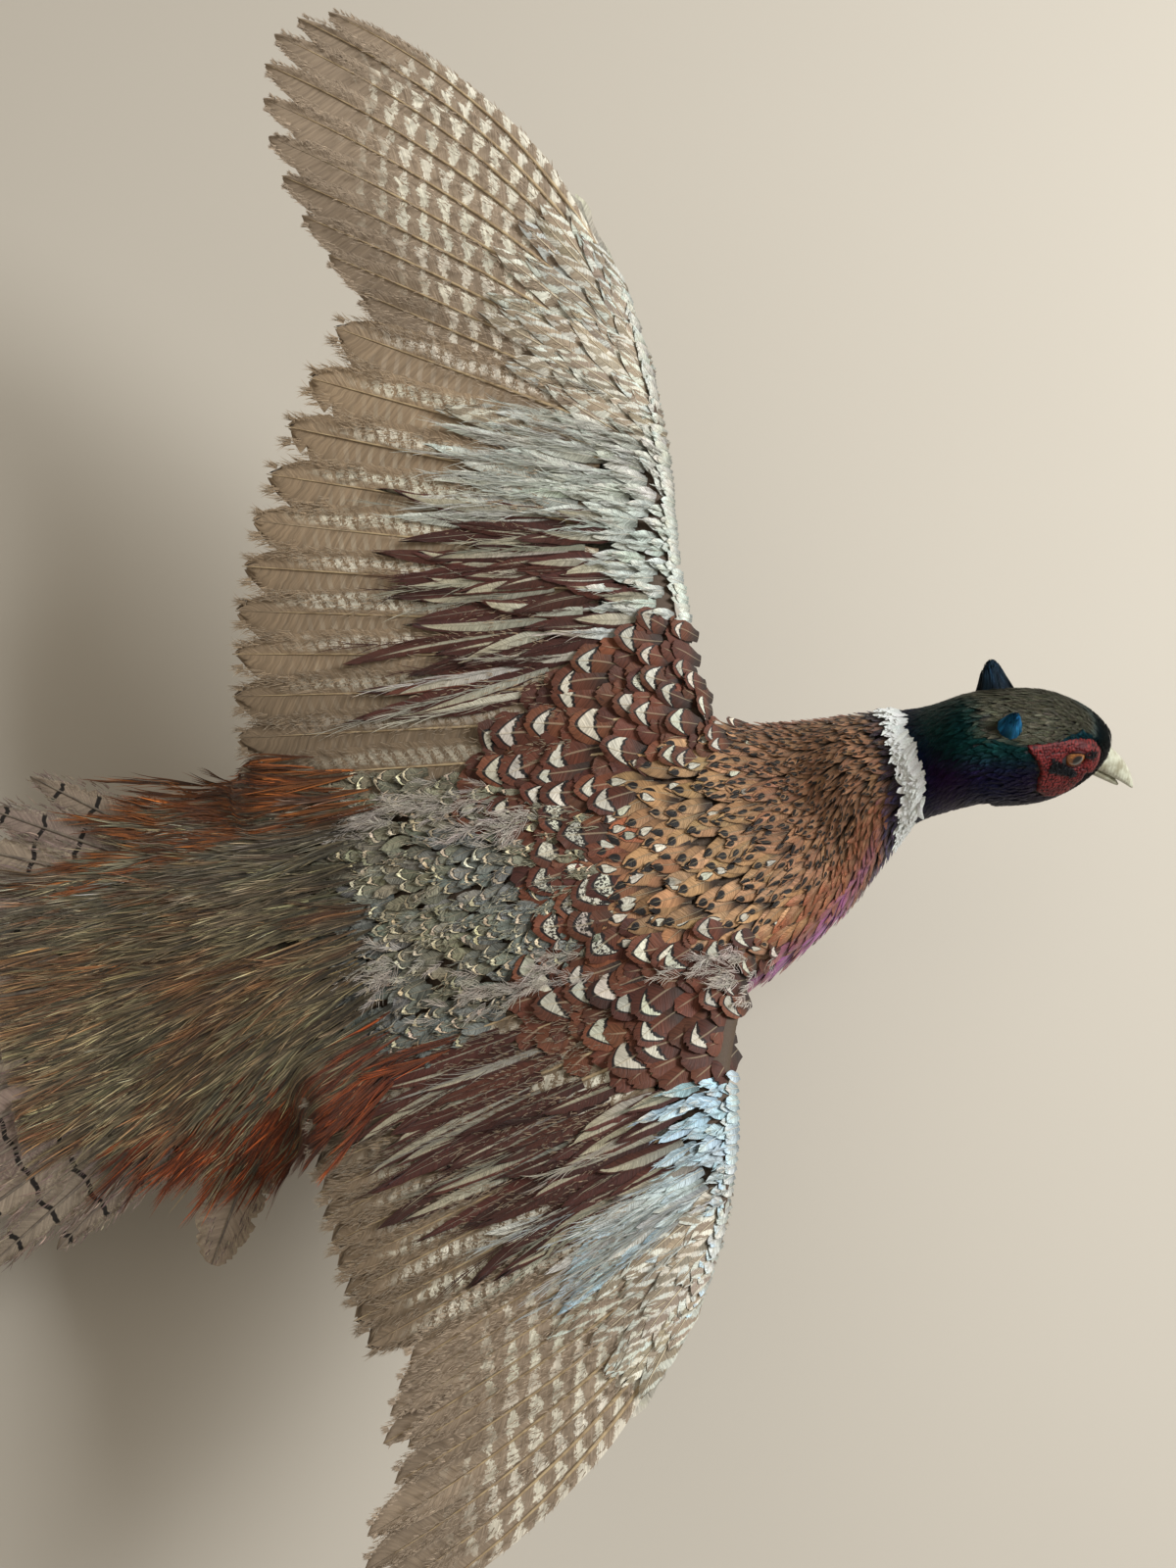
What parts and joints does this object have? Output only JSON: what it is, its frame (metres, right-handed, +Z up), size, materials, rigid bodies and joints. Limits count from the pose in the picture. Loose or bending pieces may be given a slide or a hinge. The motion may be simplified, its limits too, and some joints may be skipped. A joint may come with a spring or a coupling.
{
  "type": "taxidermy pheasant",
  "caption": "Male ring-necked pheasant mounted as in flight, wings spread and tail fanned, on a plain flat base with upright rods.",
  "frame": {"origin": "centre of the underside of the stand's base", "axes": "+X forward along the bird, +Y to its left, +Z up"},
  "size_m": [0.8854, 0.6951, 0.269],
  "materials": {
    "plumage_mantle": "feathers, copper and golden brown, satin",
    "plumage_neck": "feathers, dark with green, blue and purple gloss",
    "plumage_wing": "feathers, grey-brown barred with buff, matt",
    "plumage_tail": "feathers, olive-buff barred with black, matt",
    "plumage_rump": "hair-like feathers, grey-green and olive, matt",
    "face_red": "bare skin in small bumps, satin",
    "eye_glass": "amber iris round a black pupil, polished",
    "bill_horn": "horn, pale greenish ivory, satin",
    "leg_scale": "dry scaled skin, grey-brown, matt",
    "claw_horn": "horn, dark brown, satin",
    "stand_wood": "dark stained board, satin varnish",
    "stand_metal": "brushed brass rod, satin"
  },
  "bodies": {
    "root": {"bill_lower": "bill_horn", "bill_upper": "bill_horn", "claw_left_1": "claw_horn", "claw_left_2": "claw_horn", "claw_left_3": "claw_horn", "claw_left_4": "claw_horn", "claw_right_1": "claw_horn", "claw_right_2": "claw_horn", "claw_right_3": "claw_horn", "claw_right_4": "claw_horn", "ear_tuft_left": "plumage_neck", "ear_tuft_right": "plumage_neck", "eye_left": "eye_glass", "eye_right": "eye_glass", "foot_left": "leg_scale", "foot_right": "leg_scale", "head": "plumage_neck", "neck": "plumage_neck", "shank_left": "leg_scale", "shank_right": "leg_scale", "stand_base": "stand_wood", "stand_rod_front": "stand_metal", "stand_rod_rear": "stand_metal", "tail_coverts": "plumage_rump", "tail_left": "plumage_tail", "tail_middle": "plumage_tail", "tail_right": "plumage_tail", "thigh_left": "plumage_rump", "thigh_right": "plumage_rump", "trunk": "plumage_mantle", "wattle_left": "face_red", "wattle_right": "face_red", "wing_left_arm": "plumage_wing", "wing_left_hand": "plumage_wing", "wing_right_arm": "plumage_wing", "wing_right_hand": "plumage_wing"}
  },
  "joints": []
}
